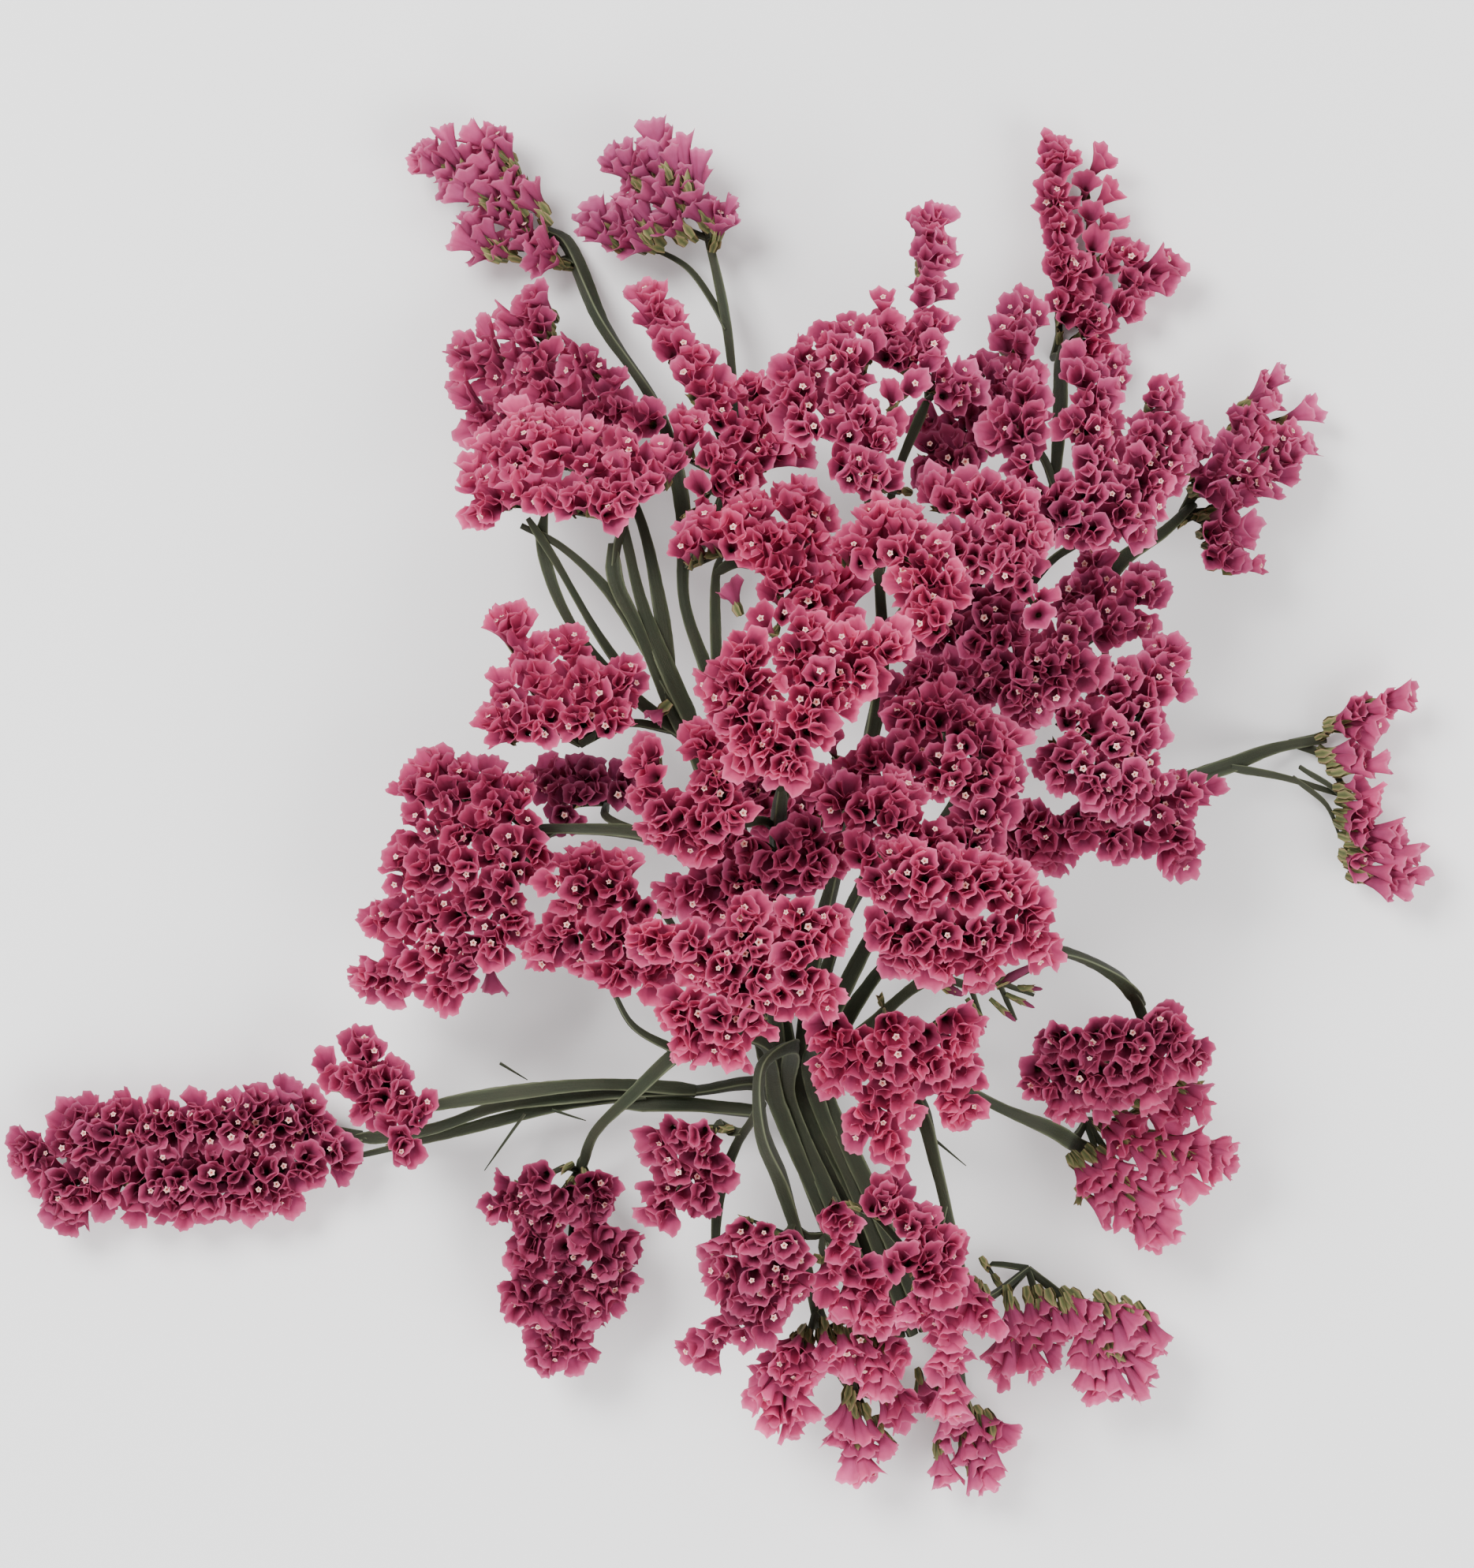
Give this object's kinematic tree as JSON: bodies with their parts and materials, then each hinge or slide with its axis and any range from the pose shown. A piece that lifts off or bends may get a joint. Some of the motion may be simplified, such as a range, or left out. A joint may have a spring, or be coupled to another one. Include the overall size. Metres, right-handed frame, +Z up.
{
  "type": "dried statice bunch",
  "caption": "Loose bunch of dried pink statice, laid down: branching winged stems spread from a neck into heads of papery, funnel-shaped calyxes.",
  "frame": {"origin": "on the surface that the bunch lies on, under the middle of the box round it", "axes": "+X to the right of the bunch as seen from above with the flower heads away, +Y from the cut ends to the crown, +Z up from the surface"},
  "size_m": [0.4056, 0.3979, 0.1298],
  "materials": {
    "calyx": "dry and papery, pink with paler rims",
    "stem": "dry, ridged and matt, dark green"
  },
  "bodies": {
    "root": {"head_bottom_chain": "calyx", "head_bottom_comb": "calyx", "head_bottom_dark": "calyx", "head_bottom_fan": "calyx", "head_bottom_green_comb": "calyx", "head_bottom_left_tips": "calyx", "head_bottom_tip": "calyx", "head_bottom_upper": "calyx", "head_centre_high": "calyx", "head_centre_left_high": "calyx", "head_centre_right": "calyx", "head_centre_right_high": "calyx", "head_centre_top": "calyx", "head_crown_left": "calyx", "head_crown_small": "calyx", "head_crown_spike": "calyx", "head_dark_right": "calyx", "head_far_left_near": "calyx", "head_far_left_tip": "calyx", "head_far_right_tip": "calyx", "head_front_bright": "calyx", "head_front_middle": "calyx", "head_left_band": "calyx", "head_left_dark": "calyx", "head_left_small": "calyx", "head_left_wide": "calyx", "head_lower_left_tip": "calyx", "head_lower_right_dark": "calyx", "head_lower_right_tip": "calyx", "head_middle_left_comb": "calyx", "head_neck_left": "calyx", "head_neck_right": "calyx", "head_right_bright": "calyx", "head_right_cluster": "calyx", "head_right_edge": "calyx", "head_right_low_edge": "calyx", "head_right_pair": "calyx", "head_right_small": "calyx", "head_right_tip": "calyx", "head_spire": "calyx", "head_tip_left_second": "calyx", "head_tip_left_top": "calyx", "head_top_middle_left": "calyx", "head_underside": "calyx", "head_upper_left_back": "calyx", "head_upper_left_front": "calyx", "stem_bottom": "stem", "stem_bottom_right": "stem", "stem_centre_left": "stem", "stem_far_right": "stem", "stem_left": "stem", "stem_low_right": "stem", "stem_lower_left": "stem", "stem_lower_right": "stem", "stem_mid_left": "stem", "stem_right": "stem", "stem_top_left": "stem", "stem_top_middle": "stem", "stem_upper_left": "stem", "stem_upper_right": "stem"}
  },
  "joints": []
}
